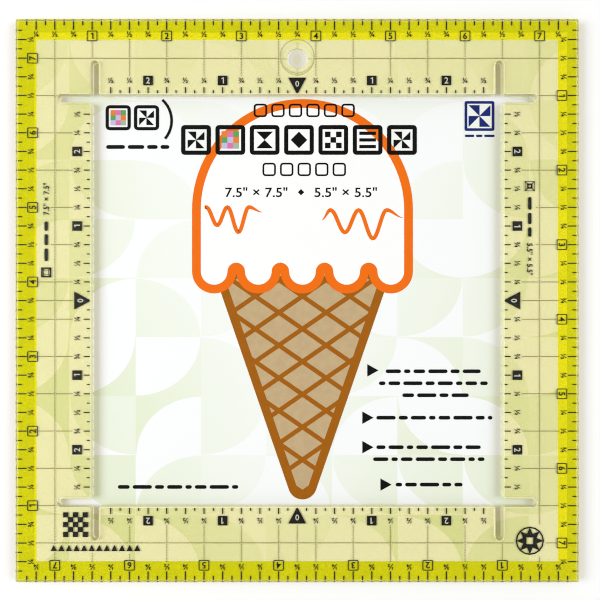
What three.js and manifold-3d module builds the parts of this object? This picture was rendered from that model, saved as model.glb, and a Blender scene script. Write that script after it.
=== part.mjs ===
// Square-in-square quilting ruler of clear acrylic, lying on its printed insert card.
// The scales, grid and seam band are inks printed on the back of the acrylic, under a non-slip film.
// Millimetres, +Z up. The origin is on the underside of the card, at its centre, and +Y is the edge
// with the hang hole. Every side of the ruler carries the same scales, so one side is drawn and turned.

import * as THREE from "three";
import { mergeVertices } from "three/addons/utils/BufferGeometryUtils.js";
import Module from "manifold-3d";

const wasm = await Module();
wasm.setup();

// ---- Driving dimensions ----

const INCH = 25.4;

const OUTER_SIDE = 7.5 * INCH;
const WINDOW_SIDE = 5.5 * INCH;
const SEAM_ALLOWANCE = 0.25 * INCH;
const HALF_OUTER = OUTER_SIDE / 2;
const HALF_WINDOW = WINDOW_SIDE / 2;

const ACRYLIC_THICKNESS = 3;
const ACRYLIC_CORNER_RADIUS = 0.6;
const ACRYLIC_BEVEL = 0.2;

const SLOT_WIDTH = 2.8;
const SLOT_REACH = 11.4;
const SLOT_MOUTH_RADIUS = 0.5;
const SLOT_BLOCK_RADIUS = 0.9;
const SLOT_STEPS = 6;

const HOLE_FROM_EDGE = 0.5 * INCH;
const HOLE_DIAMETER = 6.8;
const COUNTERSINK_DIAMETER = 11.4;
const HOLE_LAND = 0.7;

// Layers, from the table up. A hair of clearance keeps stacked faces apart.
const CARD_THICKNESS = 0.4;
const CARD_PRINT_THICKNESS = 0.03;
const FILM_THICKNESS = 0.15;
const BAND_THICKNESS = 0.04;
const INK_THICKNESS = 0.05;
const LAYER_CLEARANCE = 0.02;

// Ink sizes
const TICK_WIDTH = 0.38;
const TICK_FROM_EDGE = 0.1;
const QUARTER_TICK = 3.05;
const OUTER_EIGHTH_TICK = 1.5;
const INNER_EIGHTH_TICK = 1.8;
const KEY_LINE = 0.05;
const BOX_SIZE = 3.6;
const BOX_STROKE = 0.28;
const NUMBER_FROM_EDGE = 5.12;
const TILE_SIZE = 3.25;
const ZERO_WIDTH = 6.1;
const ZERO_BASE = 6.1;
const ZERO_TIP = 0.35;
const GRID_WIDTH = 0.3;
const GRID_PITCH = 0.5 * INCH;
const GRID_START = 0.29 * INCH;
const GRID_END = 0.73 * INCH;
const GRID_SLOT_END = 0.53 * INCH;

// Small marks on the back of the acrylic
const SIZE_MARK = { side: 3.4, innerSide: 1.8, heavy: 0.5, light: 0.18 };
const OUTER_SIZE_MARK = { x: -85.5, y: 9.6 };
const INNER_SIZE_MARK = { x: 79.2, y: 39 };
const PATCH = { x: -75.5, y: -76.3, side: 8.3, cells: 5, overlap: 0.06 };
const CAPTION = { left: -84.2, right: -53.2, bottom: -85.3, top: -83.2, triangles: 12, gap: 0.5 };
const EMBLEM = { x: 79.2, y: -81.8, size: 9.6, stroke: 0.45 };

// Card and its art
const CARD_SIDE = OUTER_SIDE - 0.5;
const CARD_BORDER = { top: 3.6, right: 3, bottom: 6.1, left: 5.4 };
const CONE_CENTRE_X = 1.8;
const CONE_TIP_Y = -63.2;
const CONE_TIP_RADIUS = 4.9;
const CONE_TOP_Y = 16;
const CONE_TOP_HALF_WIDTH = 32.5;
const SCOOP_CENTRE_Y = 31.2;
const SCOOP_RADIUS = 37.8;
const SCOOP_HEM_Y = 10;
const SCALLOPS = 5;
const SCOOP_OUTLINE = 3;

// ---- Layer heights ----

const CARD_TOP = CARD_THICKNESS;
const RULER_BOTTOM = CARD_TOP + CARD_PRINT_THICKNESS * 2;
const BAND_BOTTOM = RULER_BOTTOM + FILM_THICKNESS + LAYER_CLEARANCE;
const GRID_BOTTOM = BAND_BOTTOM + BAND_THICKNESS + LAYER_CLEARANCE;
const INK_BOTTOM = GRID_BOTTOM + INK_THICKNESS + LAYER_CLEARANCE;
const ACRYLIC_BOTTOM = INK_BOTTOM + INK_THICKNESS + LAYER_CLEARANCE;

// ---- Materials ----

const material = (color, roughness) => new THREE.MeshStandardMaterial({ color, roughness, metalness: 0 });
const acrylic = () => material(0xf2f4dc, 0.05);
const film = () => material(0xefe9bd, 0.6);
const yellowInk = () => material(0xe6e000, 0.5);
const blackInk = () => material(0x16140f, 0.45);
const gridInk = () => material(0x6d6424, 0.5);
const cardboard = () => material(0xf3f8f0, 0.7);
const limeInk = () => material(0xb7c92e, 0.6);
const orangeInk = () => material(0xf07a10, 0.5);
const whiteInk = () => material(0xfcfcfa, 0.5);
const waferInk = () => material(0xd2b48c, 0.6);

// ---- Solids ----

// A closed geometry as a solid that can be joined and cut.
function solidOf(geometry) {
  const bare = geometry.clone();
  bare.deleteAttribute("normal");
  bare.deleteAttribute("uv");
  const merged = mergeVertices(bare, 1e-4);
  const vertProperties = new Float32Array(merged.attributes.position.array);
  const triVerts = new Uint32Array(merged.index.array);
  return new wasm.Manifold(new wasm.Mesh({ numProp: 3, vertProperties, triVerts }));
}

function geometryOf(solid) {
  const mesh = solid.getMesh();
  const geometry = new THREE.BufferGeometry();
  geometry.setAttribute("position", new THREE.BufferAttribute(new Float32Array(mesh.vertProperties), 3));
  geometry.setIndex(new THREE.BufferAttribute(new Uint32Array(mesh.triVerts), 1));
  geometry.computeVertexNormals();
  return geometry;
}

// An exact turn about Z by a number of quarters, clockwise seen from above.
function quarterTurn(quarters) {
  const angle = (-quarters * Math.PI) / 2;
  const cos = Math.round(Math.cos(angle));
  const sin = Math.round(Math.sin(angle));
  return new THREE.Matrix4().set(cos, -sin, 0, 0, sin, cos, 0, 0, 0, 0, 1, 0, 0, 0, 0, 1);
}

// A flat outline raised into a plate from one height, and turned by a number of quarters.
function slab(shape, bottom, thickness, { curveSegments = 4, quarters = 0 } = {}) {
  const geometry = new THREE.ExtrudeGeometry(shape, { depth: thickness, bevelEnabled: false, curveSegments });
  return solidOf(geometry.translate(0, 0, bottom).applyMatrix4(quarterTurn(quarters)));
}

const join = (solids) => solids.reduce((whole, next) => whole.add(next));

function cylinder(x, y, radius, bottom, height, segments = 32) {
  const geometry = new THREE.CylinderGeometry(radius, radius, height, segments);
  return solidOf(geometry.rotateX(Math.PI / 2).translate(x, y, bottom + height / 2));
}

// ---- Outlines ----

const polygon = (corners) => new THREE.Shape(corners.map(([x, y]) => new THREE.Vector2(x, y)));

function rectangle(left, bottom, right, top) {
  return polygon([[left, bottom], [right, bottom], [right, top], [left, top]]);
}

// A square with rounded corners, centred on the origin.
function roundedSquare(side, radius) {
  const reach = side / 2 - radius;
  const outline = new THREE.Shape();
  outline.absarc(reach, -reach, radius, -Math.PI / 2, 0);
  outline.absarc(reach, reach, radius, 0, Math.PI / 2);
  outline.absarc(-reach, reach, radius, Math.PI / 2, Math.PI);
  outline.absarc(-reach, -reach, radius, Math.PI, Math.PI * 1.5);
  outline.closePath();
  return outline;
}

function arcPoints(x, y, radius, fromDegrees, toDegrees, steps) {
  return Array.from({ length: steps + 1 }, (_, i) => {
    const angle = THREE.MathUtils.degToRad(fromDegrees + ((toDegrees - fromDegrees) * i) / steps);
    return new THREE.Vector2(x + radius * Math.cos(angle), y + radius * Math.sin(angle));
  });
}

// One corner of the window with its two cutter slots: the first runs on past the side edge, the second
// past the top edge. Between them the frame's block has a small round.
function windowCorner() {
  const h = HALF_WINDOW;
  const inner = h - SLOT_WIDTH;
  const middle = h - SLOT_WIDTH / 2;
  const end = h + SLOT_REACH - SLOT_WIDTH / 2;
  const mouth = SLOT_MOUTH_RADIUS;
  const block = SLOT_BLOCK_RADIUS;
  return [
    ...arcPoints(h + mouth, inner - mouth, mouth, 180, 90, 2),
    ...arcPoints(end, middle, SLOT_WIDTH / 2, -90, 90, SLOT_STEPS),
    ...arcPoints(h + block, h + block, block, 270, 180, 3),
    ...arcPoints(middle, end, SLOT_WIDTH / 2, 0, 180, SLOT_STEPS),
    ...arcPoints(inner - mouth, h + mouth, mouth, 0, -90, 2),
  ];
}

function windowPath() {
  const points = [];
  for (let corner = 0; corner < 4; corner += 1) {
    for (const point of windowCorner()) {
      points.push(point.rotateAround(new THREE.Vector2(0, 0), (corner * Math.PI) / 2));
    }
  }
  return new THREE.Path(points);
}

function rulerOutline() {
  const outline = roundedSquare(OUTER_SIDE, ACRYLIC_CORNER_RADIUS);
  outline.holes.push(windowPath());
  return outline;
}

// ---- Acrylic and film ----

// The hang hole sits where the centre line meets the half-inch line. It is countersunk from above.
function hangHoleCutter() {
  const over = 1;
  const land = ACRYLIC_BOTTOM + HOLE_LAND;
  const top = ACRYLIC_BOTTOM + ACRYLIC_THICKNESS;
  const profile = [
    [0, ACRYLIC_BOTTOM - over],
    [HOLE_DIAMETER / 2, ACRYLIC_BOTTOM - over],
    [HOLE_DIAMETER / 2, land],
    [COUNTERSINK_DIAMETER / 2, top],
    [COUNTERSINK_DIAMETER / 2, top + over],
    [0, top + over],
  ];
  const lathe = new THREE.LatheGeometry(profile.map(([r, z]) => new THREE.Vector2(r, z)), 40);
  return solidOf(lathe.rotateX(Math.PI / 2).translate(0, HALF_OUTER - HOLE_FROM_EDGE, 0));
}

function acrylicPlate() {
  const geometry = new THREE.ExtrudeGeometry(rulerOutline(), {
    depth: ACRYLIC_THICKNESS - 2 * ACRYLIC_BEVEL,
    bevelThickness: ACRYLIC_BEVEL,
    bevelSize: ACRYLIC_BEVEL,
    bevelOffset: -ACRYLIC_BEVEL,
    bevelSegments: 1,
    curveSegments: 3,
  });
  const plate = solidOf(geometry.translate(0, 0, ACRYLIC_BOTTOM + ACRYLIC_BEVEL));
  return plate.subtract(hangHoleCutter());
}

function backHole(bottom, thickness) {
  const over = 0.5;
  return cylinder(0, HALF_OUTER - HOLE_FROM_EDGE, HOLE_DIAMETER / 2, bottom - over, thickness + 2 * over);
}

function nonslipFilm() {
  const sheet = slab(rulerOutline(), RULER_BOTTOM, FILM_THICKNESS, { curveSegments: 3 });
  return sheet.subtract(backHole(RULER_BOTTOM, FILM_THICKNESS));
}

function seamBand() {
  const ring = roundedSquare(OUTER_SIDE - 2 * TICK_FROM_EDGE, ACRYLIC_CORNER_RADIUS);
  ring.holes.push(rectangle(
    -HALF_OUTER + SEAM_ALLOWANCE,
    -HALF_OUTER + SEAM_ALLOWANCE,
    HALF_OUTER - SEAM_ALLOWANCE,
    HALF_OUTER - SEAM_ALLOWANCE,
  ));
  return slab(ring, BAND_BOTTOM, BAND_THICKNESS);
}

// ---- Scales: drawn for the top side and turned to the others ----

const ink = (shape, options) => slab(shape, INK_BOTTOM, INK_THICKNESS, options);

// A bar across the top side: centred on x, between two distances in from the outer edge.
function outerBar(x, width, from, to) {
  return ink(rectangle(x - width / 2, HALF_OUTER - to, x + width / 2, HALF_OUTER - from));
}

// The same, measured outwards from the window's edge.
function innerBar(x, width, from, to) {
  return ink(rectangle(x - width / 2, HALF_WINDOW + from, x + width / 2, HALF_WINDOW + to));
}

// Ticks every eighth of an inch, long at the quarters: each tick's place along the side, and its length.
function eighthTicks(from, to, eighthLength) {
  const ticks = [];
  for (let i = from; i <= to; i += 1) {
    const length = i % 2 === 0 ? QUARTER_TICK : eighthLength;
    ticks.push({ x: (i * INCH) / 8, length: length - TICK_FROM_EDGE });
  }
  return ticks;
}

// A comb outline along +X: a fine back line at the base, and teeth rising from it towards +Y.
function comb(ticks) {
  const half = TICK_WIDTH / 2;
  const corners = [[ticks[0].x - half, 0], [ticks[ticks.length - 1].x + half, 0]];
  for (const { x, length } of [...ticks].reverse()) {
    corners.push([x + half, KEY_LINE], [x + half, length], [x - half, length], [x - half, KEY_LINE]);
  }
  corners.splice(2, 1);
  corners.pop();
  return corners;
}

// Outer scale: ticks, and an open box at each inch for its number. A hair-thin key line joins the ticks
// and the boxes.
function outerScale() {
  const base = HALF_OUTER - TICK_FROM_EDGE;
  const teeth = comb(eighthTicks(1, 59, OUTER_EIGHTH_TICK));
  const marks = [ink(polygon(teeth.map(([x, rise]) => [HALF_OUTER - x, base - rise])))];
  for (let inch = 1; inch <= 7; inch += 1) {
    const x = inch * INCH - HALF_OUTER;
    const y = HALF_OUTER - NUMBER_FROM_EDGE;
    const half = BOX_SIZE / 2;
    const open = half - BOX_STROKE;
    const box = rectangle(x - half, y - half, x + half, y + half);
    box.holes.push(rectangle(x - open, y - open, x + open, y + open));
    marks.push(ink(box));
    marks.push(outerBar(x, KEY_LINE, QUARTER_TICK / 2, NUMBER_FROM_EDGE - half + BOX_STROKE / 2));
  }
  return join(marks);
}

// Inner scale: counted both ways from the middle of the side, with solid number tiles at 1 and 2.
function innerScale() {
  const ticks = eighthTicks(-20, 20, INNER_EIGHTH_TICK).filter(({ x }) => x !== 0);
  const base = HALF_WINDOW + TICK_FROM_EDGE;
  const teeth = comb(ticks);
  const marks = [ink(polygon(teeth.map(([x, rise]) => [x, base + rise])))];
  for (const inch of [-2, -1, 1, 2]) {
    const from = NUMBER_FROM_EDGE - TILE_SIZE / 2;
    marks.push(innerBar(inch * INCH, TILE_SIZE, from, from + TILE_SIZE));
    marks.push(innerBar(inch * INCH, KEY_LINE, QUARTER_TICK / 2, NUMBER_FROM_EDGE));
  }
  return join(marks);
}

// The black triangle that points at the middle of the window's edge.
function zeroMarker() {
  return ink(polygon([
    [0, HALF_WINDOW + ZERO_TIP],
    [ZERO_WIDTH / 2, HALF_WINDOW + ZERO_BASE],
    [-ZERO_WIDTH / 2, HALF_WINDOW + ZERO_BASE],
  ]));
}

// ---- Grid: its own ink layer, under the black ----

// One side's share of the grid, as one outline: the full-length half-inch line with the cross lines every
// half inch standing out from it on both sides.
function gridSide(quarters) {
  const half = GRID_WIDTH / 2;
  const lineY = HALF_OUTER - GRID_PITCH;
  const left = -HALF_OUTER + GRID_START;
  const right = HALF_OUTER - SEAM_ALLOWANCE;
  const crossings = [];
  for (let x = GRID_PITCH * 2 - HALF_OUTER; x < HALF_WINDOW + half; x += GRID_PITCH) {
    const besideSlot = Math.abs(x) > HALF_WINDOW - half;
    crossings.push({ x, end: besideSlot ? GRID_SLOT_END : GRID_END });
  }
  if (quarters > 0) {
    crossings.push({ x: 0, end: GRID_END });
  }
  crossings.sort((a, b) => a.x - b.x);
  const bristle = (x, y, tip) => [[x - half, y], [x - half, tip], [x + half, tip], [x + half, y]];
  const upper = crossings.flatMap(({ x }) => bristle(x, lineY + half, HALF_OUTER - GRID_START));
  const lower = crossings.flatMap(({ x, end }) => bristle(x, lineY - half, HALF_OUTER - end)).reverse();
  const outline = polygon([
    [left, lineY - half],
    [left, lineY + half],
    ...upper,
    [right, lineY + half],
    [right, lineY - half],
    ...lower,
  ]);
  return slab(outline, GRID_BOTTOM, INK_THICKNESS, { quarters });
}

// The lines stop at the rim of the hang hole.
function gridLines() {
  const hole = cylinder(0, HALF_OUTER - HOLE_FROM_EDGE, HOLE_DIAMETER / 2 + 0.1, GRID_BOTTOM - 1, 3, 16);
  return join([0, 1, 2, 3].map(gridSide)).subtract(hole);
}

// ---- Marks in the corners and on the sides ----

// A mitred square frame, for the outer or the inner size: the edge it stands for is the heavy one.
function sizeMark(outerStroke, innerStroke) {
  const frame = (side, stroke) => {
    const ring = rectangle(-side / 2, -side / 2, side / 2, side / 2);
    const hole = side / 2 - stroke;
    ring.holes.push(rectangle(-hole, -hole, hole, hole));
    return ink(ring);
  };
  const width = SIZE_MARK.light / 2;
  const inner = SIZE_MARK.innerSide / 2 - width;
  const outer = SIZE_MARK.side / 2 - width;
  const mitres = [0, 1, 2, 3].map((quarters) => {
    const corners = [
      [inner - width, inner + width],
      [inner + width, inner - width],
      [outer + width, outer - width],
      [outer - width, outer + width],
    ];
    return ink(polygon(corners), { quarters });
  });
  return join([frame(SIZE_MARK.side, outerStroke), frame(SIZE_MARK.innerSide, innerStroke), ...mitres]);
}

// A plain patchwork of squares. They overlap a hair at their corners, so it is one solid.
function cornerPatch() {
  const { side, cells, overlap } = PATCH;
  const cell = side / cells;
  const pieces = [];
  for (let column = 0; column < cells; column += 1) {
    for (let row = column % 2; row < cells; row += 2) {
      const x = column * cell - side / 2;
      const y = row * cell - side / 2;
      pieces.push(ink(rectangle(x - overlap, y - overlap, x + cell + overlap, y + cell + overlap)));
    }
  }
  return join(pieces);
}

// A row of small triangles standing on a hair-thin key line, as in a flying-geese border.
function gooseRow() {
  const pitch = (CAPTION.right - CAPTION.left) / CAPTION.triangles;
  const height = CAPTION.top - CAPTION.bottom;
  const corners = [];
  for (let i = 0; i < CAPTION.triangles; i += 1) {
    const left = i * pitch + CAPTION.gap / 2;
    const right = left + pitch - CAPTION.gap;
    corners.push([left, KEY_LINE], [(left + right) / 2, height], [right, KEY_LINE]);
  }
  return ink(polygon([
    [CAPTION.gap / 2, 0],
    ...corners,
    [CAPTION.right - CAPTION.left - CAPTION.gap / 2, 0],
  ]));
}

// A plain eight-pointed quilt star inside a thin ring.
function cornerEmblem() {
  const radius = EMBLEM.size / 2;
  const middle = radius * 0.24;
  const ring = new THREE.Shape();
  ring.absarc(0, 0, radius, 0, Math.PI * 2);
  const hole = new THREE.Path();
  hole.absarc(0, 0, radius - EMBLEM.stroke, 0, Math.PI * 2);
  ring.holes.push(hole);
  const corners = [];
  for (let i = 0; i < 16; i += 1) {
    const reach = i % 2 === 0 ? radius - EMBLEM.stroke / 2 : radius * 0.52;
    const angle = (i * Math.PI) / 8;
    corners.push([reach * Math.cos(angle), reach * Math.sin(angle)]);
  }
  const star = polygon(corners);
  star.holes.push(rectangle(-middle, -middle, middle, middle));
  return join([ink(ring, { curveSegments: 8 }), ink(star)]);
}

// ---- Card ----

// The card runs on under the hang hole, uncut.
function insertCard() {
  const half = CARD_SIDE / 2;
  return slab(rectangle(-half, -half, half, half), 0, CARD_THICKNESS);
}

// The printed border is wider at the bottom and left than at the top and right, as the card was trimmed.
function cardBorder() {
  const half = CARD_SIDE / 2;
  const ring = rectangle(-half, -half, half, half);
  ring.holes.push(rectangle(
    -half + CARD_BORDER.left,
    -half + CARD_BORDER.bottom,
    half - CARD_BORDER.right,
    half - CARD_BORDER.top,
  ));
  return slab(ring, CARD_TOP, CARD_PRINT_THICKNESS);
}

// A straight-sided wafer cone with a round tip.
function conePrint() {
  const rise = CONE_TOP_Y - CONE_TIP_Y;
  const lean = THREE.MathUtils.radToDeg(Math.atan2(CONE_TOP_HALF_WIDTH - CONE_TIP_RADIUS, rise));
  const points = [
    new THREE.Vector2(CONE_CENTRE_X + CONE_TOP_HALF_WIDTH, CONE_TOP_Y),
    new THREE.Vector2(CONE_CENTRE_X - CONE_TOP_HALF_WIDTH, CONE_TOP_Y),
    ...arcPoints(CONE_CENTRE_X, CONE_TIP_Y, CONE_TIP_RADIUS, 180 + lean, 360 - lean, 14),
  ];
  return slab(new THREE.Shape(points), CARD_TOP, CARD_PRINT_THICKNESS);
}

// A plain dome with an even scalloped hem. The inset gives the white filling inside the orange outline.
function scoopShape(inset) {
  const radius = SCOOP_RADIUS - inset;
  const scallop = SCOOP_RADIUS / SCALLOPS;
  const points = arcPoints(CONE_CENTRE_X, SCOOP_CENTRE_Y, radius, 0, 180, 48);
  for (let i = 0; i < SCALLOPS; i += 1) {
    const x = CONE_CENTRE_X - SCOOP_RADIUS + (2 * i + 1) * scallop;
    const hem = arcPoints(x, SCOOP_HEM_Y, scallop - inset, 180, 360, 18);
    points.push(...hem);
    if (inset > 0 && i < SCALLOPS - 1) {
      points.push(...arcPoints(x + scallop, SCOOP_HEM_Y, inset, 180, 0, 10).slice(1, -1));
    }
  }
  return new THREE.Shape(points);
}

// ---- Assembly ----

const ruler = new THREE.Group();
const card = new THREE.Group();

function place(group, name, solid, look) {
  const mesh = new THREE.Mesh(geometryOf(solid), look);
  mesh.name = name;
  group.add(mesh);
  return mesh;
}

place(ruler, "acrylic_plate", acrylicPlate(), acrylic());
place(ruler, "nonslip_film", nonslipFilm(), film());
place(ruler, "seam_band", seamBand(), yellowInk());
place(ruler, "grid_lines", gridLines(), gridInk());

["top", "right", "bottom", "left"].forEach((side, quarters) => {
  place(ruler, `outer_scale_${side}`, outerScale(), blackInk()).applyMatrix4(quarterTurn(quarters));
  place(ruler, `inner_scale_${side}`, innerScale(), blackInk()).applyMatrix4(quarterTurn(quarters));
  place(ruler, `zero_marker_${side}`, zeroMarker(), blackInk()).applyMatrix4(quarterTurn(quarters));
});

const outerMark = place(ruler, "outer_size_mark", sizeMark(SIZE_MARK.heavy, SIZE_MARK.light), blackInk());
outerMark.position.set(OUTER_SIZE_MARK.x, OUTER_SIZE_MARK.y, 0);
const innerMark = place(ruler, "inner_size_mark", sizeMark(SIZE_MARK.light, SIZE_MARK.heavy), blackInk());
innerMark.position.set(INNER_SIZE_MARK.x, INNER_SIZE_MARK.y, 0);
place(ruler, "corner_patch", cornerPatch(), blackInk()).position.set(PATCH.x, PATCH.y, 0);
place(ruler, "patch_caption", gooseRow(), blackInk()).position.set(CAPTION.left, CAPTION.bottom, 0);
place(ruler, "corner_emblem", cornerEmblem(), blackInk()).position.set(EMBLEM.x, EMBLEM.y, 0);

const ART_BOTTOM = CARD_TOP + CARD_PRINT_THICKNESS;
place(card, "insert_card", insertCard(), cardboard());
place(card, "card_border", cardBorder(), limeInk());
place(card, "card_cone", conePrint(), waferInk());
place(card, "card_scoop_outline", slab(scoopShape(0), ART_BOTTOM, CARD_PRINT_THICKNESS), orangeInk());
place(
  card,
  "card_scoop_fill",
  slab(scoopShape(SCOOP_OUTLINE), ART_BOTTOM + CARD_PRINT_THICKNESS, CARD_PRINT_THICKNESS),
  whiteInk(),
);

const quiltingRuler = new THREE.Group();
quiltingRuler.add(card, ruler);

export default quiltingRuler;
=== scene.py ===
"""Looks for the square-in-square quilting ruler on its insert card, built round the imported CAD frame.

Shapes are drawn flat in millimetres, then raised into thin closed meshes and placed in metres. The top
side's scales are drawn once and turned to the other sides.
"""

import math

import bpy
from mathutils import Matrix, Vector


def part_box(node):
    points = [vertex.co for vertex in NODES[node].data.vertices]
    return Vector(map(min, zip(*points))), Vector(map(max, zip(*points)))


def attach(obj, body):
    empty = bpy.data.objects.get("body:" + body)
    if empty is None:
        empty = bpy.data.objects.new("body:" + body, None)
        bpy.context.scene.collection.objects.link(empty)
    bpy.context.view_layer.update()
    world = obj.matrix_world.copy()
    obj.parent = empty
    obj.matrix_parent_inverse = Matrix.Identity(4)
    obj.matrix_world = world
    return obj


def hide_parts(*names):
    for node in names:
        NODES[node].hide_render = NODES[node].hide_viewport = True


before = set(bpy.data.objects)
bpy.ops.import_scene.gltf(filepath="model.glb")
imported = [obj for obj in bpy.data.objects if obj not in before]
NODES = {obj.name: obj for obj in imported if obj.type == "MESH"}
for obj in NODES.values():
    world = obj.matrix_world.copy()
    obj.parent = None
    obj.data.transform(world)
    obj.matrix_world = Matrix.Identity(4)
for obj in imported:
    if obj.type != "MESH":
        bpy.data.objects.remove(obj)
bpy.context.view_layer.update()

# ---- Sizes, in millimetres ----

MM = 0.001
INCH = 25.4
EIGHTH = INCH / 8
HALF_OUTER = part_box("acrylic_plate")[1].x / MM
HALF_WINDOW = 5.5 * INCH / 2
OUTER_EIGHTHS = round(2 * HALF_OUTER / EIGHTH)
INNER_EIGHTHS = 20  # each way from the middle
HOLE_Y = HALF_OUTER - INCH / 2
COUNTERSINK_RADIUS = 5.7
SIDES = ("top", "right", "bottom", "left")

TICK_WIDTH = 0.36
# Where ticks end, measured from the edge that their scale runs along.
TICK_FROM_EDGE = 0.1
QUARTER_TICK = 3.05
EIGHTH_TICK = 1.5
INNER_EIGHTH_FROM_EDGE = 0.2
INNER_EIGHTH_TICK = 1.8
INNER_QUARTER_TICK = 2.85
BOX_SIZE = 3.6
BOX_STROKE = 0.28
BOX_RADIUS = 0.45
NUMBER_FROM_EDGE = 5.12
NUMBER_HEIGHT = 2.2
FRACTION_FROM_EDGE = 4.55
FRACTION_HEIGHT = 1.93
FRACTIONS = {2: "¼", 4: "½", 6: "¾"}
TILE_SIZE = 3.25
TILE_NUMBER_HEIGHT = 2.1
ZERO_FROM_EDGE = 4.0
ZERO_HEIGHT = 2.0

GRID_DOT = 0.27
GRID_DOT_PITCH = 0.52
GRID_PITCH = INCH / 2
SEAM_ALLOWANCE = INCH / 4
# How far in from the outer edge a cross line starts under a number box, ends, and ends beside a slot.
GRID_FROM_BOX = 7.2
GRID_END = 18.5
GRID_SLOT_END = 13.4
HOLE_CLEAR = 3.6
# Boxes that the grid leaves clear: left, bottom, right, top.
KEEP_CLEAR = (
    (-HOLE_CLEAR, HOLE_Y - HOLE_CLEAR, HOLE_CLEAR, HOLE_Y + HOLE_CLEAR),  # hang hole
    (-88.9, 7, -83.9, 42),  # size text on the left
    (76.7, 7, 81.1, 41),  # size text on the right
    (-85.2, -85.9, -52, -82.9),  # row of triangles
    (73.8, -87.2, 84.6, -76.4),  # round print
)

# ---- Layers, in metres ----


def layer(node):
    """The heights of a node's underside and top."""
    low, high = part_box(node)
    return low.z, high.z


INK_LAYER = layer("outer_scale_top")
GRID_LAYER = layer("grid_lines")
PLATE_LAYER = layer("acrylic_plate")
# Light numerals lie on the black ink, in the clearance under the acrylic, a hair from both.
HAIR = 0.000004
KNOCKOUT_LAYER = (INK_LAYER[1] + HAIR, PLATE_LAYER[0] - HAIR)
PRINT_THICKNESS = 0.000008


def print_over(node, sheets=0):
    """The layer of a print that lies on a node, over a number of other prints."""
    bottom = layer(node)[1] + sheets * PRINT_THICKNESS
    return bottom, bottom + PRINT_THICKNESS


ART_LAYER = print_over("card_scoop_fill")

# ---- Flat shapes: (points, faces), in millimetres ----


def polygon(corners):
    return list(corners), [tuple(range(len(corners)))]


def bar(x, width, bottom, top):
    """An upright rectangle about a middle x."""
    left, right = x - width / 2, x + width / 2
    return polygon([(left, bottom), (right, bottom), (right, top), (left, top)])


def ring(outer, inner):
    """The strip between two loops with the same number of points."""
    count = len(outer)
    faces = [(i, (i + 1) % count, count + (i + 1) % count, count + i) for i in range(count)]
    return list(outer) + list(inner), faces


def arc(x, y, radius, start, end, steps):
    """Points on an arc about (x, y), with its angles in degrees."""
    angles = [math.radians(start + (end - start) * step / steps) for step in range(steps + 1)]
    return [(x + radius * math.cos(angle), y + radius * math.sin(angle)) for angle in angles]


def rounded_loop(x, y, side, radius):
    reach = side / 2 - radius
    points = []
    for corner, (sx, sy) in enumerate(((1, 1), (-1, 1), (-1, -1), (1, -1))):
        start = 90 * corner
        points += arc(x + sx * reach, y + sy * reach, radius, start, start + 90, 3)
    return points


def square_ring(x, y, side, width, radius):
    """A square outline with rounded corners, drawn with a line of one width."""
    inner_radius = max(radius - width, 0.05)
    return ring(rounded_loop(x, y, side, radius), rounded_loop(x, y, side - 2 * width, inner_radius))


def rounded_bar(left, right, y, height):
    """A bar with round ends: one greeked word."""
    radius = height / 2
    right_end = arc(right - radius, y, radius, -90, 90, 5)
    left_end = arc(left + radius, y, radius, 90, 270, 5)
    return polygon(right_end + left_end)


def stroke(points, width, taper=1):
    """A ribbon along a line of points, whose ends narrow over a number of points."""
    left, right = [], []
    for i, (x, y) in enumerate(points):
        from_end = min(i, len(points) - 1 - i)
        half = width * min(1.0, (from_end + 1) / taper) / 2
        ax, ay = points[max(i - 1, 0)]
        bx, by = points[min(i + 1, len(points) - 1)]
        length = math.hypot(bx - ax, by - ay)
        nx, ny = -(by - ay) / length * half, (bx - ax) / length * half
        left.append((x + nx, y + ny))
        right.append((x - nx, y - ny))
    count = len(points)
    faces = [(i, i + 1, count + i + 1, count + i) for i in range(count - 1)]
    return left + right, faces


def clipped(corners, inside, cut):
    """The part of a convex polygon on the inner side of a line. inside and cut act on two corners."""
    kept = []
    for i, here in enumerate(corners):
        before = corners[i - 1]
        if inside(here) != inside(before):
            kept.append(cut(before, here))
        if inside(here):
            kept.append(here)
    return kept


def within(corners, hull):
    """A convex polygon cut to the inside of a convex hull, both counter-clockwise."""
    for i, a in enumerate(hull):
        b = hull[(i + 1) % len(hull)]

        def height(p, a=a, b=b):
            return (b[0] - a[0]) * (p[1] - a[1]) - (b[1] - a[1]) * (p[0] - a[0])

        def cut(p, q, height=height):
            share = height(p) / (height(p) - height(q))
            return (p[0] + (q[0] - p[0]) * share, p[1] + (q[1] - p[1]) * share)

        if corners:
            corners = clipped(corners, lambda p, height=height: height(p) >= 0, cut)
    return corners


GLYPH_WEIGHT = 0.012
ONE = [(0.3, 0), (0.47, 0), (0.47, 1), (0.34, 1), (0.06, 0.84), (0.12, 0.71), (0.3, 0.81)]
glyphs = {}


def glyph(words):
    """The flat outline of some numerals, one unit high, centred on its box."""
    if words not in glyphs:
        if words == "1":
            points, faces = polygon(ONE)
        else:
            curve = bpy.data.curves.new("numerals", "FONT")
            curve.body = words
            curve.resolution_u = 3
            curve.offset = GLYPH_WEIGHT
            holder = bpy.data.objects.new("numerals", curve)
            bpy.context.scene.collection.objects.link(holder)
            bpy.context.view_layer.update()
            mesh = holder.to_mesh()
            points = [(v.co.x, v.co.y) for v in mesh.vertices]
            faces = [tuple(p.vertices) for p in mesh.polygons]
            holder.to_mesh_clear()
            bpy.data.objects.remove(holder)
            bpy.data.curves.remove(curve)
        xs, ys = zip(*points)
        tall = max(ys) - min(ys)
        middle = ((max(xs) + min(xs)) / 2, (max(ys) + min(ys)) / 2)
        glyphs[words] = [((x - middle[0]) / tall, (y - middle[1]) / tall) for x, y in points], faces
    return glyphs[words]


def text(words, height, x, y, stretch=1.0):
    """Numerals centred on a point, stretched sideways."""
    points, faces = glyph(words)
    return [(x + px * height * stretch, y + py * height) for px, py in points], faces


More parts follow.
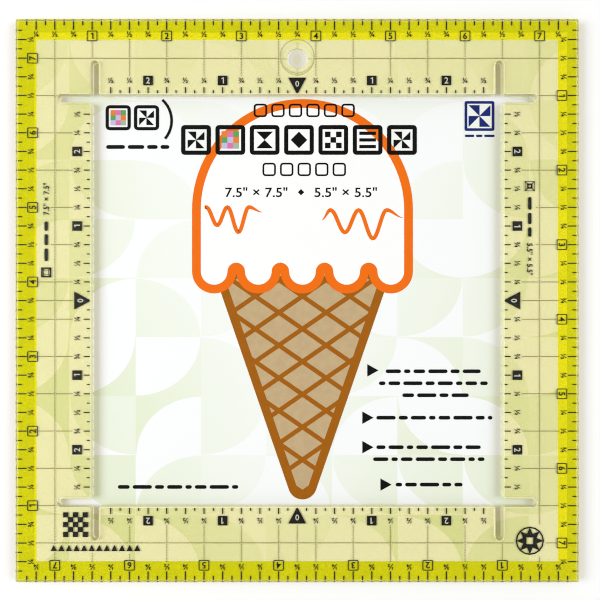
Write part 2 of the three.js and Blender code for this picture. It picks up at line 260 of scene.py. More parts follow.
def turned(shape, degrees, x=0.0, y=0.0):
    """A shape turned anticlockwise about the origin, then moved."""
    points, faces = shape
    cos, sin = math.cos(math.radians(degrees)), math.sin(math.radians(degrees))
    return [(x + px * cos - py * sin, y + px * sin + py * cos) for px, py in points], faces


# ---- Raising flat shapes into pieces ----


def raised(shapes, low, high):
    """Closed thin solids over flat shapes: points in metres, and faces."""
    points, faces = [], []
    for flat, polygons in shapes:
        first, count = len(points), len(flat)
        points += [(x * MM, y * MM, low) for x, y in flat]
        points += [(x * MM, y * MM, high) for x, y in flat]
        edges = {}
        for corners in polygons:
            around = [flat[c] for c in corners]
            area = sum(a[0] * b[1] - b[0] * a[1] for a, b in zip(around, around[1:] + around[:1]))
            corners = corners if area > 0 else corners[::-1]
            faces.append(tuple(first + count + c for c in corners))
            faces.append(tuple(first + c for c in reversed(corners)))
            for a, b in zip(corners, corners[1:] + corners[:1]):
                edges[a, b] = True
        for a, b in edges:
            if (b, a) not in edges:
                faces.append((first + a, first + b, first + count + b, first + count + a))
    return points, faces


def piece(name, shapes, heights, look, body, replaces=()):
    """One visual object from flat shapes, riding on a body and standing for any replaced CAD nodes."""
    points, faces = raised(shapes, *heights)
    mesh = bpy.data.meshes.new(name)
    mesh.from_pydata(points, [], faces)
    mesh.validate()
    mesh.materials.append(look)
    made = bpy.data.objects.new(name, mesh)
    bpy.context.scene.collection.objects.link(made)
    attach(made, body)
    if replaces:
        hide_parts(*replaces)
    return made


# ---- Materials ----


class Look:
    """A node material under construction."""

    def __init__(self, name):
        self.material = bpy.data.materials.new(name)
        self.material.use_nodes = True
        self.tree = self.material.node_tree
        self.tree.nodes.clear()
        self.output = self.tree.nodes.new("ShaderNodeOutputMaterial")
        self.place = self.node("TexCoord").outputs["Object"]

    def node(self, kind, inputs=None, **settings):
        made = self.tree.nodes.new("ShaderNode" + kind)
        for key, value in settings.items():
            setattr(made, key, value)
        for key, value in (inputs or {}).items():
            socket = made.inputs[key]
            if isinstance(value, bpy.types.NodeSocket):
                self.tree.links.new(value, socket)
            else:
                socket.default_value = value
        return made

    def noise(self, size_mm, detail=2.0, where=None):
        """Noise from 0 to 1 with features of about one size."""
        inputs = {"Vector": where or self.place, "Scale": 1 / (size_mm * MM), "Detail": detail}
        return self.node("TexNoise", inputs).outputs["Fac"]

    def scaled(self, x, y, z):
        """The object's own coordinates, counted by another measure along each axis."""
        inputs = {"Vector": self.place, "Scale": (x, y, z)}
        return self.node("Mapping", inputs).outputs["Vector"]

    def spread(self, value, low, high, start=0.0, end=1.0):
        """A value's range from start to end, mapped to low to high and held there beyond it."""
        inputs = {0: value, 1: start, 2: end, 3: low, 4: high}
        return self.node("MapRange", inputs).outputs[0]

    def from_hole(self, across=1.0):
        """Distance in plan from the hang hole's axis, with the way across counted by its own measure."""
        inputs = {0: self.place, 1: (0, -HOLE_Y * MM, 0)}
        away = self.node("VectorMath", inputs, operation="ADD").outputs[0]
        plan = self.node("VectorMath", {0: away, 1: (across, 1, 0)}, operation="MULTIPLY").outputs[0]
        return self.node("VectorMath", {0: plan}, operation="LENGTH").outputs[1]

    def maths(self, operation, a, b=0.0):
        return self.node("Math", {0: a, 1: b}, operation=operation).outputs[0]

    def parts(self, vector):
        return self.node("SeparateXYZ", {0: vector}).outputs

    def mixed(self, share, a, b):
        made = self.node("Mix", data_type="RGBA")
        for socket, value in ((made.inputs[0], share), (made.inputs[6], a), (made.inputs[7], b)):
            if isinstance(value, bpy.types.NodeSocket):
                self.tree.links.new(value, socket)
            else:
                socket.default_value = value
        return made.outputs[2]

    def bump(self, height, strength, distance_mm):
        inputs = {"Height": height, "Strength": strength, "Distance": distance_mm * MM}
        return self.node("Bump", inputs).outputs["Normal"]

    def principled(self, inputs):
        return self.node("BsdfPrincipled", inputs).outputs[0]

    def blend(self, share, first, second):
        return self.node("MixShader", {0: share, 1: first, 2: second}).outputs[0]

    def letting_light_by(self, seen, tint):
        """The surface as it is seen, while lamps' rays and light scattered from below pass straight on."""
        path = self.node("LightPath").outputs
        through = self.node("BsdfTransparent", {"Color": tint}).outputs[0]
        return self.blend(path["Is Shadow Ray"], self.blend(path["Is Diffuse Ray"], seen, through), through)

    def finish(self, surface):
        self.tree.links.new(surface, self.output.inputs["Surface"])
        return self.material


def rgb(red, green, blue):
    """A colour given as 8-bit sRGB numbers, made linear."""
    def linear(value):
        value /= 255
        return value / 12.92 if value <= 0.04045 else ((value + 0.055) / 1.055) ** 2.4

    return linear(red), linear(green), linear(blue), 1.0


def darker(colour, share):
    return tuple(c * share for c in colour[:3]) + (1.0,)


def ink_look(name, colour, roughness=0.42, mottle=0.8):
    """Screen-printed ink: slight density mottle, a fine mesh texture and soft gloss."""
    look = Look(name)
    density = look.spread(look.noise(0.9, 4), 0.0, 1.0, 0.3, 0.7)
    base = look.mixed(density, darker(colour, mottle), colour)
    grain = look.noise(0.12, 2)
    return look.finish(look.principled({
        "Base Color": base,
        "Roughness": look.spread(grain, roughness - 0.08, roughness + 0.1),
        "Specular IOR Level": 0.2,
        "Normal": look.bump(grain, 0.15, 0.01),
    }))


def card_print_look(name, colour, fleck=0.93):
    """Offset print on coated card: flat colour with faint press mottle over paper grain."""
    look = Look(name)
    press = look.spread(look.noise(2.5, 3), 0.0, 1.0, 0.35, 0.65)
    fine = look.spread(look.noise(0.18, 2), 0.0, 1.0, 0.3, 0.7)
    base = look.mixed(look.maths("MULTIPLY", press, fine), darker(colour, fleck), colour)
    fibre = look.noise(0.25, 3)
    return look.finish(look.principled({
        "Base Color": base,
        "Roughness": look.spread(fibre, 0.42, 0.58),
        "Specular IOR Level": 0.15,
        "Normal": look.bump(fibre, 0.12, 0.02),
    }))


PATTERN_CELL = (22.4, 20.2)
PATTERN_SHIFT = (0.47, 0.62, 0)
QUARTER_REACH = 0.98
# The painted shade under the hang hole, a beige spot, is narrower than it is tall. It fades out between two
# distances from the hole's axis.
PAINTED_SHADE_STRETCH = 1.7
PAINTED_SHADE_FROM = 1.5
PAINTED_SHADE_TO = 4.6


def quarter_pattern(look):
    """How strongly the card's pattern shows. By chance, each cell holds a quarter ellipse about one of its
    corners, or all but that quarter. The pattern is fainter towards the top middle."""
    scale = (1 / (PATTERN_CELL[0] * MM), 1 / (PATTERN_CELL[1] * MM), 1.0)
    inputs = {"Vector": look.place, "Scale": scale, "Location": PATTERN_SHIFT}
    grid = look.node("Mapping", inputs).outputs[0]
    whole = look.node("VectorMath", {0: grid}, operation="FLOOR").outputs[0]
    local = look.parts(look.node("VectorMath", {0: grid}, operation="FRACTION").outputs[0])
    cell = look.node("VectorMath", {0: whole, 1: (1, 1, 0)}, operation="MULTIPLY").outputs[0]
    draw = look.node("TexWhiteNoise", {"Vector": cell}, noise_dimensions="3D").outputs["Color"]
    chance = look.node("SeparateColor", {0: draw}).outputs

    def from_corner(axis):
        side = look.maths("GREATER_THAN", chance[axis], 0.5)
        away = look.maths("SUBTRACT", local[axis], side)
        return look.maths("MULTIPLY", away, away)

    reach = look.maths("ADD", from_corner(0), from_corner(1))
    inside = look.maths("LESS_THAN", reach, QUARTER_REACH)
    flip = look.maths("GREATER_THAN", chance[2], 0.55)
    shown = look.maths("ABSOLUTE", look.maths("SUBTRACT", inside, flip))
    x, y, _ = look.parts(look.place)
    off_middle = look.maths("ADD", look.maths("ABSOLUTE", x), look.maths("MULTIPLY", y, -0.4))
    by_place = look.spread(off_middle, 0.25, 1.0, 20 * MM, 80 * MM)
    strength = look.maths("MULTIPLY", look.spread(chance[2], 0.45, 1.0), by_place)
    return look.maths("MULTIPLY", shown, strength)


def card_look():
    """White coated card with a pale green pattern on its face, a beige spot of painted shade under the hang
    hole, and plain grey-white board on its back and edges."""
    look = Look("coated_card")
    pattern = look.mixed(quarter_pattern(look), rgb(248, 250, 249), rgb(224, 235, 200))
    fibre = look.noise(0.22, 4)
    grained = look.mixed(look.spread(fibre, 0, 0.04), pattern, rgb(200, 205, 196))
    # Painted shade: a beige spot on the card under the hang hole, standing for the shadow that falls there
    # through the hole.
    painted_shade = look.spread(look.from_hole(PAINTED_SHADE_STRETCH), 0.65, 0.0, PAINTED_SHADE_FROM * MM, PAINTED_SHADE_TO * MM)
    printed = look.mixed(painted_shade, grained, rgb(206, 199, 146))
    flecks = look.spread(look.noise(0.5, 5), 0, 1, 0.4, 0.6)
    board = look.mixed(flecks, rgb(226, 224, 217), rgb(236, 235, 230))
    up = look.parts(look.node("NewGeometry").outputs["Normal"])[2]
    return look.finish(look.principled({
        "Base Color": look.mixed(look.maths("GREATER_THAN", up, 0.5), board, printed),
        "Roughness": look.spread(fibre, 0.45, 0.62),
        "Specular IOR Level": 0.25,
        "Normal": look.bump(fibre, 0.12, 0.02),
    }))


def veil_look(name, tint, scatter, share, speckle_mm, roughness):
    """A thin see-through layer: it tints what lies below and scatters a little light of its own colour.
    Lamps pass it by its tint alone, because such a layer scatters most light onwards."""
    look = Look(name)
    speckle = look.noise(speckle_mm, 3)
    cloud = look.noise(30, 2)
    fine = look.spread(speckle, share * 0.75, share * 1.25, 0.3, 0.7)
    amount = look.maths("MULTIPLY", fine, look.spread(cloud, 0.85, 1.15, 0.3, 0.7))
    body = look.principled({
        "Base Color": look.mixed(look.spread(speckle, 0, 1, 0.3, 0.7), darker(scatter, 0.9), scatter),
        "Roughness": look.spread(speckle, roughness - 0.1, roughness + 0.1),
        "Specular IOR Level": 0.05,
        "Normal": look.bump(speckle, 0.3, 0.03),
    })
    clear = look.node("BsdfTransparent", {"Color": tint}).outputs[0]
    return look.finish(look.letting_light_by(look.blend(amount, clear, body), tint))


FLAT_NORMAL = 0.9  # a face that points up or down by less is a wall
EDGE_DEPTH = 1.0
# Shares of frost on the outer edge and on the countersink, against the other cuts.
EDGE_FROST = 0.3
CONE_FROST = 0.4
# The countersink's rim is dull up to one distance from its circle, and clear beyond another.
RIM_SHARE = 0.8
RIM_FULL = 0.1
RIM_END = 0.25


def sawn(look, saw, dark, light):
    """A dull cut surface with fine lines."""
    return look.principled({
        "Base Color": look.mixed(saw, dark, light),
        "Roughness": look.spread(saw, 0.3, 0.5),
    })


def acrylic_look():
    """Cast acrylic: polished faces with the faintest wipe marks, a nearly polished outer edge, and frosted
    cuts inside it with fine upright lines. Lamps pass its flat faces, and its walls hold them back as inner
    reflection does. The countersink has a dull rim."""
    look = Look("clear_acrylic")
    geometry = look.node("NewGeometry").outputs
    up = look.maths("ABSOLUTE", look.parts(geometry["True Normal"])[2])
    wall = look.maths("LESS_THAN", up, FLAT_NORMAL)
    wipes = look.noise(1.2, 3, look.scaled(1, 0.08, 1))
    saw = look.noise(0.35, 2, look.scaled(1, 1, 0.03))
    smears = look.spread(wipes, 0.0, 0.012, 0.45, 0.75)
    glass = look.principled({
        "Base Color": rgb(254, 255, 250),
        "Roughness": look.maths("ADD", smears, look.maths("MULTIPLY", wall, 0.1)),
        "IOR": 1.49,
        "Transmission Weight": 1.0,
        "Normal": look.bump(look.maths("MULTIPLY", saw, wall), 0.25, 0.02),
    })
    frost = sawn(look, saw, rgb(250, 249, 185), rgb(255, 254, 215))
    burr = sawn(look, saw, rgb(168, 166, 96), rgb(190, 188, 128))

    x, y, _ = look.parts(look.place)
    far = look.maths("MAXIMUM", look.maths("ABSOLUTE", x), look.maths("ABSOLUTE", y))
    cut = look.maths("LESS_THAN", far, (HALF_OUTER - EDGE_DEPTH) * MM)
    from_hole = look.from_hole()
    cone = look.maths("LESS_THAN", from_hole, COUNTERSINK_RADIUS * MM)
    by_edge = look.spread(cut, EDGE_FROST, 1.0)
    frosted = look.maths("MULTIPLY", by_edge, look.spread(cone, 1.0, CONE_FROST))
    share = look.maths("MULTIPLY", frosted, look.spread(saw, 0.78, 0.95))
    off_rim = look.maths("ABSOLUTE", look.maths("SUBTRACT", from_hole, COUNTERSINK_RADIUS * MM))
    rim = look.spread(off_rim, RIM_SHARE, 0.0, RIM_FULL * MM, RIM_END * MM)
    seen = look.blend(look.maths("MULTIPLY", wall, share), glass, frost)
    seen = look.blend(rim, seen, burr)
    front = look.maths("SUBTRACT", 1.0, geometry["Backfacing"])
    held = look.mixed(look.maths("MULTIPLY", wall, front), (1.0, 1.0, 0.99, 1), rgb(164, 152, 98))
    return look.finish(look.letting_light_by(seen, held))


def floor_look():
    look = Look("studio_floor")
    base = look.mixed(look.noise(40, 3), rgb(253, 253, 252), rgb(255, 255, 254))
    surface = look.principled({"Base Color": base, "Roughness": 0.7, "Specular IOR Level": 0.2})
    return look.finish(surface)


ACRYLIC = acrylic_look()
FILM = veil_look(
    "nonslip_coating", rgb(253, 251, 236), rgb(244, 238, 182),
    share=0.07, speckle_mm=0.35, roughness=0.75,
)
BAND = veil_look(
    "yellow_band_ink", rgb(254, 252, 160), rgb(248, 241, 2),
    share=0.26, speckle_mm=0.5, roughness=0.5,
)
BLACK = ink_look("black_screen_ink", rgb(14, 11, 8), mottle=0.6)
KNOCKOUT = ink_look("number_knockout", rgb(214, 212, 194), mottle=0.94)
GRID = ink_look("olive_screen_ink", rgb(122, 104, 18), mottle=0.8)
CARD = card_look()
LIME = card_print_look("lime_print", rgb(188, 204, 40))
TAN = card_print_look("wafer_print", rgb(205, 178, 135), fleck=0.85)
BROWN = card_print_look("brown_print", rgb(168, 98, 10), fleck=0.88)
ORANGE = card_print_look("orange_print", rgb(243, 112, 10), fleck=0.96)
WHITE = card_print_look("white_print", rgb(251, 251, 250), fleck=0.99)
CARD_BLACK = card_print_look("black_print", rgb(8, 8, 8), fleck=0.7)
CARD_BLUE = card_print_look("blue_print", rgb(28, 40, 120), fleck=0.85)
PATCH_COLOURS = [
    card_print_look(f"patch_print_{name}", colour)
    for name, colour in (
        ("lilac", rgb(196, 196, 226)),
        ("pink", rgb(226, 120, 178)),
        ("green", rgb(96, 168, 96)),
        ("orange", rgb(244, 128, 50)),
        ("sage", rgb(164, 190, 160)),
    )
]


def dress(look, *names):
    for name in names:
        materials = NODES[name].data.materials
        materials.clear()
        materials.append(look)


dress(ACRYLIC, "acrylic_plate")
dress(FILM, "nonslip_film")
dress(BAND, "seam_band")
dress(BLACK, *(f"zero_marker_{side}" for side in SIDES))
dress(BLACK, "outer_size_mark", "inner_size_mark", "corner_patch", "patch_caption", "corner_emblem")
dress(CARD, "insert_card")
dress(LIME, "card_border")
dress(TAN, "card_cone")
dress(ORANGE, "card_scoop_outline")
dress(WHITE, "card_scoop_fill")

# ---- Scales ----


def outer_scale():
    """Ticks every eighth, fraction labels at the quarters and a boxed number at each inch."""
    shapes = []
    for eighth in range(1, OUTER_EIGHTHS):
        x = eighth * EIGHTH - HALF_OUTER
        length = EIGHTH_TICK if eighth % 2 else QUARTER_TICK
        shapes.append(bar(x, TICK_WIDTH, HALF_OUTER - length, HALF_OUTER - TICK_FROM_EDGE))
        if eighth % 8 == 0:
            y = HALF_OUTER - NUMBER_FROM_EDGE
            shapes.append(square_ring(x, y, BOX_SIZE, BOX_STROKE, BOX_RADIUS))
            shapes.append(text(str(eighth // 8), NUMBER_HEIGHT, x, y))
        elif eighth % 2 == 0:
            shapes.append(text(FRACTIONS[eighth % 8], FRACTION_HEIGHT, x, HALF_OUTER - FRACTION_FROM_EDGE))
    return shapes


def inner_tick(x, start, end):
    return bar(x, TICK_WIDTH, HALF_WINDOW + start, HALF_WINDOW + end)


def inner_scale():
    """Counted both ways from the middle. Returns the black shapes and the light numerals on them."""
    black = []
    light = [text("0", ZERO_HEIGHT, 0, HALF_WINDOW + ZERO_FROM_EDGE)]
    y = HALF_WINDOW + NUMBER_FROM_EDGE
    for count in range(1, INNER_EIGHTHS + 1):
        for x in (-count * EIGHTH, count * EIGHTH):
            if count % 2:
                black.append(inner_tick(x, INNER_EIGHTH_FROM_EDGE, INNER_EIGHTH_TICK))
                continue
            black.append(inner_tick(x, TICK_FROM_EDGE, INNER_QUARTER_TICK))
            if count % 8:
                black.append(text(FRACTIONS[count % 8], FRACTION_HEIGHT, x, y))
            else:
                black.append(bar(x, TILE_SIZE, y - TILE_SIZE / 2, y + TILE_SIZE / 2))
                light.append(text(str(count // 8), TILE_NUMBER_HEIGHT, x, y))
    return black, light


outer_marks = outer_scale()
inner_marks, top_numerals = inner_scale()
numerals = []
for quarters, side in enumerate(SIDES):
    outer = [turned(shape, -90 * quarters) for shape in outer_marks]
    inner = [turned(shape, -90 * quarters) for shape in inner_marks]
    numerals += [turned(shape, -90 * quarters) for shape in top_numerals]
    piece(f"outer_marks_{side}", outer, INK_LAYER, BLACK, "ruler", [f"outer_scale_{side}"])
    piece(f"inner_marks_{side}", inner, INK_LAYER, BLACK, "ruler", [f"inner_scale_{side}"])
piece("number_knockouts", numerals, KNOCKOUT_LAYER, KNOCKOUT, "ruler")

# ---- Dotted grid ----


def dotted(x0, y0, x1, y1, centres):
    """Adds dot centres along a straight line, but none in the clear boxes or on an earlier line's dot."""
    length = math.hypot(x1 - x0, y1 - y0)
    count = int(length / GRID_DOT_PITCH)
    earlier = list(centres)
    for i in range(count + 1):
        x, y = x0 + (x1 - x0) * i / count, y0 + (y1 - y0) * i / count
        clear = not any(a < x < c and b < y < d for a, b, c, d in KEEP_CLEAR)
        if clear and not any(abs(x - u) < GRID_DOT and abs(y - v) < GRID_DOT for u, v in earlier):
            centres.append((x, y))


def grid_segments():
    """The top side's lines: the long one half an inch in, and the cross lines every half inch."""
    long_y = HALF_OUTER - GRID_PITCH
    segments = [(-HALF_OUTER + GRID_FROM_BOX, long_y, HALF_OUTER - SEAM_ALLOWANCE, long_y)]
    for halves in range(2, 14):
        x = halves * GRID_PITCH - HALF_OUTER
        start = SEAM_ALLOWANCE if halves % 2 else GRID_FROM_BOX
        end = GRID_SLOT_END if abs(x) > HALF_WINDOW - 1 else GRID_END
        segments.append((x, HALF_OUTER - start, x, HALF_OUTER - end))
    segments.append((0, HALF_OUTER - SEAM_ALLOWANCE, 0, HALF_OUTER - GRID_END))
    return segments


def turn_point(x, y, quarters):
    for _ in range(quarters):
        x, y = y, -x
    return x, y


centres = []
for quarters in range(4):
    for x0, y0, x1, y1 in grid_segments():
        dotted(*turn_point(x0, y0, quarters), *turn_point(x1, y1, quarters), centres)
dots = [bar(x, GRID_DOT, y - GRID_DOT / 2, y + GRID_DOT / 2) for x, y in centres]
piece("grid_dots", dots, GRID_LAYER, GRID, "ruler", ["grid_lines"])

# ---- Size marks: greeked words and plain sizes beside the two frame icons ----

WORD_HEIGHT = 1.15
WORDS_LENGTH = 13.6
SIZE_HEIGHT = 1.95
SIZE_FROM_START = 21.2
OUTER_SIZE = '7.5" × 7.5"'
INNER_SIZE = '5.5" × 5.5"'


def greeked(left, right, y, height, lengths, gap):
    """A line of text as bars, one for each word, from a repeating list of lengths."""
    shapes = []
    x, i = left, 0
    while x < right - height:
        end = min(x + lengths[i % len(lengths)], right)
        if right - end < height + gap:
            end = right
        shapes.append(rounded_bar(x, end, y, height))
        x = end + gap
        i += 1
    return shapes


def size_text(size):
    """Words then a size, along +X, from 0 to about 27 mm."""
    words = greeked(0, WORDS_LENGTH, y=0, height=WORD_HEIGHT, lengths=(4.4, 3.9, 3.3), gap=1.0)
    return words + [text(size, SIZE_HEIGHT, SIZE_FROM_START, 0)]


side_words = [turned(shape, 90, x=-85.5, y=13.4) for shape in size_text(OUTER_SIZE)]
side_words += [turned(shape, -90, x=79.2, y=35.3) for shape in size_text(INNER_SIZE)]
piece("size_words", side_words, INK_LAYER, BLACK, "ruler")

# ---- Card art ----

CONE_X = 1.8
CONE_TIP_Y = -63.2
CONE_TIP_RADIUS = 4.9
CONE_TOP_Y = 16.0
CONE_TOP_HALF = 32.5
CONE_OUTLINE = 2.9
LATTICE_WIDTH = 1.55
LATTICE_RISE = 11.2
LATTICE_RUN = 16.2
LATTICE_START = 1.5
LATTICE_ROWS = range(-9, 6)
LATTICE_REACH = 60
WAVE_WIDTH = 1.35
WAVE_EASE = 10
SWING_STEPS = 20


def cone_loop(inset):
    """The cone's outline, counter-clockwise from its top right corner, moved in by an inset."""
    lean = math.atan2(CONE_TOP_HALF - CONE_TIP_RADIUS, CONE_TOP_Y - CONE_TIP_Y)
    half = CONE_TOP_HALF - inset / math.cos(lean)
    tip = 180 + math.degrees(lean)
    points = [(CONE_X + half, CONE_TOP_Y), (CONE_X - half, CONE_TOP_Y)]
    return points + arc(CONE_X, CONE_TIP_Y, CONE_TIP_RADIUS - inset, tip, 540 - tip, 12)


def lattice(way):
    """One set of slanted strips across the cone, rising to the right or, with way -1, to the left."""
    hull = cone_loop(CONE_OUTLINE * 0.6)
    slope = math.atan2(LATTICE_RISE, LATTICE_RUN)
    half = LATTICE_WIDTH / 2 / math.cos(slope)
    left, right = CONE_X - LATTICE_REACH, CONE_X + LATTICE_REACH
    rise = way * LATTICE_REACH * math.tan(slope)
    strips = []
    for row in LATTICE_ROWS:
        y = row * LATTICE_RISE + LATTICE_START
        low_edge = [(left, y - rise - half), (right, y + rise - half)]
        high_edge = [(right, y + rise + half), (left, y - rise + half)]
        strip = within(low_edge + high_edge, hull)
        if len(strip) > 2:
            strips.append(polygon(strip))
    return strips


def wave(start, end, top, swings, depths, lead, tail):
    """A smooth wavy line. Its crests are level and its dips deepen from the first depth to the last. A lead
    and a tail, each a length and a drop, ease down from its end crests."""
    points = []
    for i in range(WAVE_EASE):
        t = i / WAVE_EASE
        points.append((start - lead[0] * (1 - t), top - lead[1] * (1 + math.cos(math.pi * t)) / 2))
    steps = swings * SWING_STEPS
    for i in range(steps):
        t = i / steps
        depth = depths[0] + (depths[1] - depths[0]) * t
        dip = (1 - math.cos(2 * math.pi * swings * t)) / 2
        points.append((start + (end - start) * t, top - depth * dip))
    for i in range(WAVE_EASE + 1):
        t = i / WAVE_EASE
        points.append((end + tail[0] * t, top - tail[1] * (1 - math.cos(math.pi * t)) / 2))
    return stroke(points, WAVE_WIDTH, taper=WAVE_EASE)


piece("cone_lattice_right", lattice(1), print_over("card_cone"), BROWN, "card")
piece("cone_lattice_left", lattice(-1), print_over("card_cone", 1), BROWN, "card")
cone_ring = ring(cone_loop(0), cone_loop(CONE_OUTLINE))
piece("cone_outline", [cone_ring], print_over("card_cone", 2), BROWN, "card")
waves = [
    wave(start=-31.2, end=-16.6, top=32.0, swings=2, depths=(5.0, 9.8), lead=(0.5, 0.4), tail=(4.6, 1.7)),
    wave(start=11.4, end=30.6, top=31.0, swings=2, depths=(6.6, 10.8), lead=(3.0, 3.4), tail=(5.6, 2.6)),
]
piece("scoop_waves", waves, ART_LAYER, ORANGE, "card")

# ---- Plain quilt blocks where the card carries its title and badges ----


def pinwheel(x, y, side):
    half = side / 2
    blade = polygon([(0, 0), (half, 0), (half, half)])
    return [turned(blade, 90 * quarter, x, y) for quarter in range(4)]


def hourglass(x, y, side):
    half = side / 2
    upper = polygon([(0, 0), (half, half), (-half, half)])
    return [turned(upper, degrees, x, y) for degrees in (0, 180)]


def diamond(x, y, side):
    half = side / 2
    return [polygon([(x + half, y), (x, y + half), (x - half, y), (x, y - half)])]


def rails(x, y, side):
    step = side / 5
    return [bar(x, side, y + (k - 2.5) * step, y + (k - 1.5) * step) for k in (0, 2, 4)]


def nine_squares(x, y, side):
    """The squares of a three by three patch, row by row from its lower left."""
    cell = side / 3
    rows = [(y + (i - 0.5) * cell, y + (i + 0.5) * cell) for i in (-1, 0, 1)]
    return [bar(x + j * cell, cell, low, high) for low, high in rows for j in (-1, 0, 1)]


def corners_block(x, y, side):
    return nine_squares(x, y, side)[::2]


TITLE_X = 0.6
TITLE_Y = 55.0
TITLE_SIDE = 10.2
TITLE_LINE = 1.45
TITLE_RADIUS = 1.2
TITLE_PITCH = 11.75
TITLE_GAP = 1.6
# A coloured patch, a piece of its own, fills the second block.
TITLE_FILLINGS = (pinwheel, None, hourglass, diamond, corners_block, rails, pinwheel)
PATCH_BLOCK = TITLE_FILLINGS.index(None)

SMALL_X = 2.4
SMALL_SIDE = 4.6
SMALL_LINE = 0.62
SMALL_RADIUS = 1.1
SMALL_PITCH = 6.0
# Each row's height on the card and its number of blocks.
SMALL_ROWS = ((65.1, 6), (44.9, 5))

SIZES_Y = 37.1
CARD_SIZE_HEIGHT = 3.4
CARD_SIZE_STRETCH = 1.12
CARD_SIZES = ((-14.0, OUTER_SIZE), (16.6, INNER_SIZE))
DIAMOND_X = 1.3
DIAMOND_SIDE = 2.2

BADGE_Y = 62.6
BADGE_SIDE = 8.6
BADGE_PATCH_X = -61.3
BADGE_WHEEL_X = -51.6
BOW_CENTRE = (-52.6, 61.6)
BOW_RADIUS = 9.6

BULLET_LENGTH = 3.8
BULLET_HEIGHT = 4.2
BULLETS = ((25.9, -23.9), (24.2, -40.1), (24.2, -50.2), (30.4, -63.0))
# The left end, right end and height on the card of each line of print.
LINES = (
    (30.3, 62.8, -24.2),
    (28.0, 65.2, -28.3),
    (36.0, 58.7, -32.4),
    (27.1, 66.8, -40.1),
    (27.1, 62.8, -50.2),
    (26.0, 64.1, -54.3),
    (33.7, 56.6, -63.0),
    (-61.4, -20.2, -63.8),
)
LINE_HEIGHT = 1.25
WORD_LENGTHS = (5.2, 2.2, 4.0, 6.6, 3.1)

BLUE_X = 62.4
BLUE_Y = 63.2
# The number in PATCH_COLOURS of each square of a patch, row by row from its lower left.
PATCH_ORDER = (0, 1, 4, 2, 0, 3, 3, 1, 2)


def spaced(middle, pitch, count):
    """Places in a row, spaced evenly about its middle."""
    return [middle + (i - (count - 1) / 2) * pitch for i in range(count)]


def title_blocks():
    """A row of large framed blocks between two rows of small open ones."""
    shapes = []
    for x, filling in zip(spaced(TITLE_X, TITLE_PITCH, len(TITLE_FILLINGS)), TITLE_FILLINGS):
        shapes.append(square_ring(x, TITLE_Y, TITLE_SIDE, TITLE_LINE, TITLE_RADIUS))
        if filling:
            shapes += filling(x, TITLE_Y, TITLE_SIDE - 2 * TITLE_LINE - TITLE_GAP)
    for y, count in SMALL_ROWS:
        for x in spaced(SMALL_X, SMALL_PITCH, count):
            shapes.append(square_ring(x, y, SMALL_SIDE, SMALL_LINE, SMALL_RADIUS))
    return shapes


def card_sizes():
    """The two sizes with a diamond between them."""
    sizes = [text(size, CARD_SIZE_HEIGHT, x, SIZES_Y, CARD_SIZE_STRETCH) for x, size in CARD_SIZES]
    return sizes + diamond(DIAMOND_X, SIZES_Y, DIAMOND_SIDE)


def thread_badge():
    """The badge at the upper left: a frame for a patch, a framed pinwheel, a bow of thread and a line of
    words as bars."""
    places = (BADGE_PATCH_X, BADGE_WHEEL_X)
    shapes = [square_ring(x, BADGE_Y, BADGE_SIDE, width=1.1, radius=1.4) for x in places]
    shapes += pinwheel(BADGE_WHEEL_X, BADGE_Y, side=5.0)
    shapes.append(stroke(arc(*BOW_CENTRE, BOW_RADIUS, start=-40, end=48, steps=11), width=0.9))
    return shapes + greeked(-65.4, -43.8, y=52.6, height=1.3, lengths=(6.4, 5.6, 3.6), gap=1.0)


def bullet(x, y):
    """A triangle that points to the right."""
    back, tip = x - BULLET_LENGTH / 2, x + BULLET_LENGTH / 2
    return polygon([(back, y - BULLET_HEIGHT / 2), (tip, y), (back, y + BULLET_HEIGHT / 2)])


def card_lines():
    """Pointed bullets and lines of words as bars, whose lengths start elsewhere in their list each time."""
    shapes = [bullet(x, y) for x, y in BULLETS]
    for row, (left, right, y) in enumerate(LINES):
        first = row % len(WORD_LENGTHS)
        lengths = WORD_LENGTHS[first:] + WORD_LENGTHS[:first]
        shapes += greeked(left, right, y, LINE_HEIGHT, lengths, gap=1.05)
    return shapes


black_print = title_blocks() + card_sizes() + thread_badge() + card_lines()
piece("card_black_print", black_print, ART_LAYER, CARD_BLACK, "card")

blue = pinwheel(BLUE_X, BLUE_Y, side=7.4)
blue.append(square_ring(BLUE_X, BLUE_Y, side=10.2, width=0.9, radius=0.6))
blue += greeked(BLUE_X - 5.0, BLUE_X + 5.2, y=56.4, height=0.8, lengths=(3.2, 2.2), gap=0.6)
piece("card_blue_badge", blue, ART_LAYER, CARD_BLUE, "card")

title_patch_x = spaced(TITLE_X, TITLE_PITCH, len(TITLE_FILLINGS))[PATCH_BLOCK]
patches = (nine_squares(BADGE_PATCH_X, BADGE_Y, side=5.2), nine_squares(title_patch_x, TITLE_Y, side=6.0))
for number, look in enumerate(PATCH_COLOURS):
    mine = [shape for patch in patches for shape, colour in zip(patch, PATCH_ORDER) if colour == number]
    piece(f"card_patch_{number}", mine, ART_LAYER, look, "card")

# ---- Floor, lights and camera, in metres ----

FLOOR_HALF = 3.0
FLOOR_DROP = 0.0002
LAMP_ASIDE = 0.62
LAMP_BACK = 0.02
LAMP_HEIGHT = 0.6
LAMP_SIDE = 0.42
LAMP_POWERS = {-1: 4.7, 1: 3.1}  # watts, at the left and at the right
ROOM_STRENGTH = 0.47
OVERHEAD_STRENGTH = 0.1
# Where the dim patch starts and is full, from 0 at the horizon to 1 straight up.
OVERHEAD_FROM = 0.80
OVERHEAD_FULL = 0.88
# The camera's height over the acrylic, and the width that it takes in there.
CAMERA_HEIGHT = 0.25
FRAME_WIDTH = 0.2027
CAMERA_X = 0.00095
CAMERA_Y = 0.0002


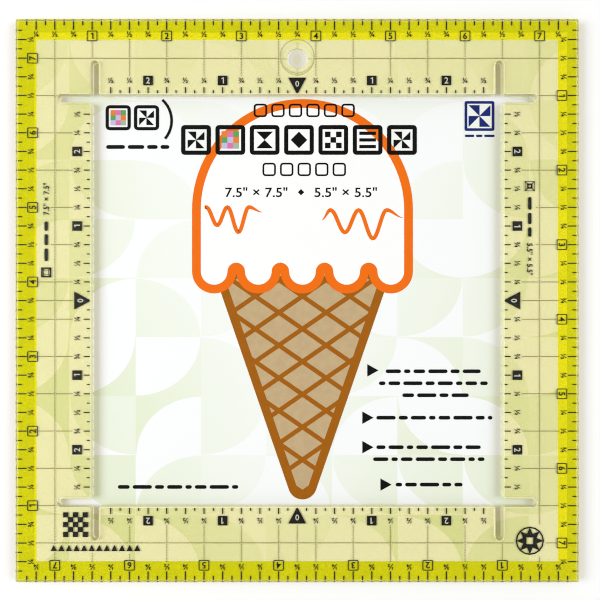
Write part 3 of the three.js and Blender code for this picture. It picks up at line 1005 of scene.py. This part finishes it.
def stage_floor():
    mesh = bpy.data.meshes.new("studio_floor")
    corners = [(x * FLOOR_HALF, y * FLOOR_HALF, 0) for x, y in ((-1, -1), (1, -1), (1, 1), (-1, 1))]
    mesh.from_pydata(corners, [], [(0, 1, 2, 3)])
    mesh.materials.append(floor_look())
    floor = bpy.data.objects.new("studio_floor", mesh)
    floor.location.z = -FLOOR_DROP
    bpy.context.scene.collection.objects.link(floor)


def soft_light(name, place, power):
    """A square lamp that faces the middle of the ruler."""
    lamp = bpy.data.lights.new(name, "AREA")
    lamp.shape = "RECTANGLE"
    lamp.size = LAMP_SIDE
    lamp.size_y = LAMP_SIDE
    lamp.energy = power
    made = bpy.data.objects.new(name, lamp)
    made.location = place
    made.rotation_euler = (-Vector(place)).to_track_quat("-Z", "Y").to_euler()
    bpy.context.scene.collection.objects.link(made)


def studio_world():
    """An even pale room, with a dim patch straight overhead where the camera and its stand are."""
    world = bpy.data.worlds.new("studio")
    world.use_nodes = True
    tree = world.node_tree
    up = tree.nodes.new("ShaderNodeSeparateXYZ")
    dim = tree.nodes.new("ShaderNodeMapRange")
    tree.links.new(tree.nodes.new("ShaderNodeTexCoord").outputs["Generated"], up.inputs[0])
    tree.links.new(up.outputs[2], dim.inputs[0])
    heights_and_strengths = (OVERHEAD_FROM, OVERHEAD_FULL, ROOM_STRENGTH, OVERHEAD_STRENGTH)
    for socket, value in zip(list(dim.inputs)[1:5], heights_and_strengths):
        socket.default_value = value
    tree.links.new(dim.outputs[0], tree.nodes["Background"].inputs["Strength"])
    tree.nodes["Background"].inputs["Color"].default_value = (1, 1, 1, 1)
    bpy.context.scene.world = world


def overhead_camera():
    camera = bpy.data.cameras.new("camera")
    camera.sensor_width = 36
    camera.lens = camera.sensor_width * CAMERA_HEIGHT / FRAME_WIDTH
    camera.clip_start = 0.01
    eye = bpy.data.objects.new("camera", camera)
    eye.location = (CAMERA_X, CAMERA_Y, PLATE_LAYER[1] + CAMERA_HEIGHT)
    bpy.context.scene.collection.objects.link(eye)
    return eye


stage_floor()
for way, power in LAMP_POWERS.items():
    soft_light(f"soft_light_{way + 1}", (LAMP_ASIDE * way, LAMP_BACK, LAMP_HEIGHT), power)
studio_world()
bpy.context.scene.camera = overhead_camera()

# Light has to pass the plate, the film, the band and the prints, so it needs many bounces.
scene = bpy.context.scene
scene.view_settings.view_transform = "Standard"
scene.cycles.transparent_max_bounces = 24
scene.cycles.transmission_bounces = 16
scene.cycles.max_bounces = 16
scene.cycles.caustics_refractive = False
scene.cycles.caustics_reflective = False
scene.cycles.filter_width = 1.1
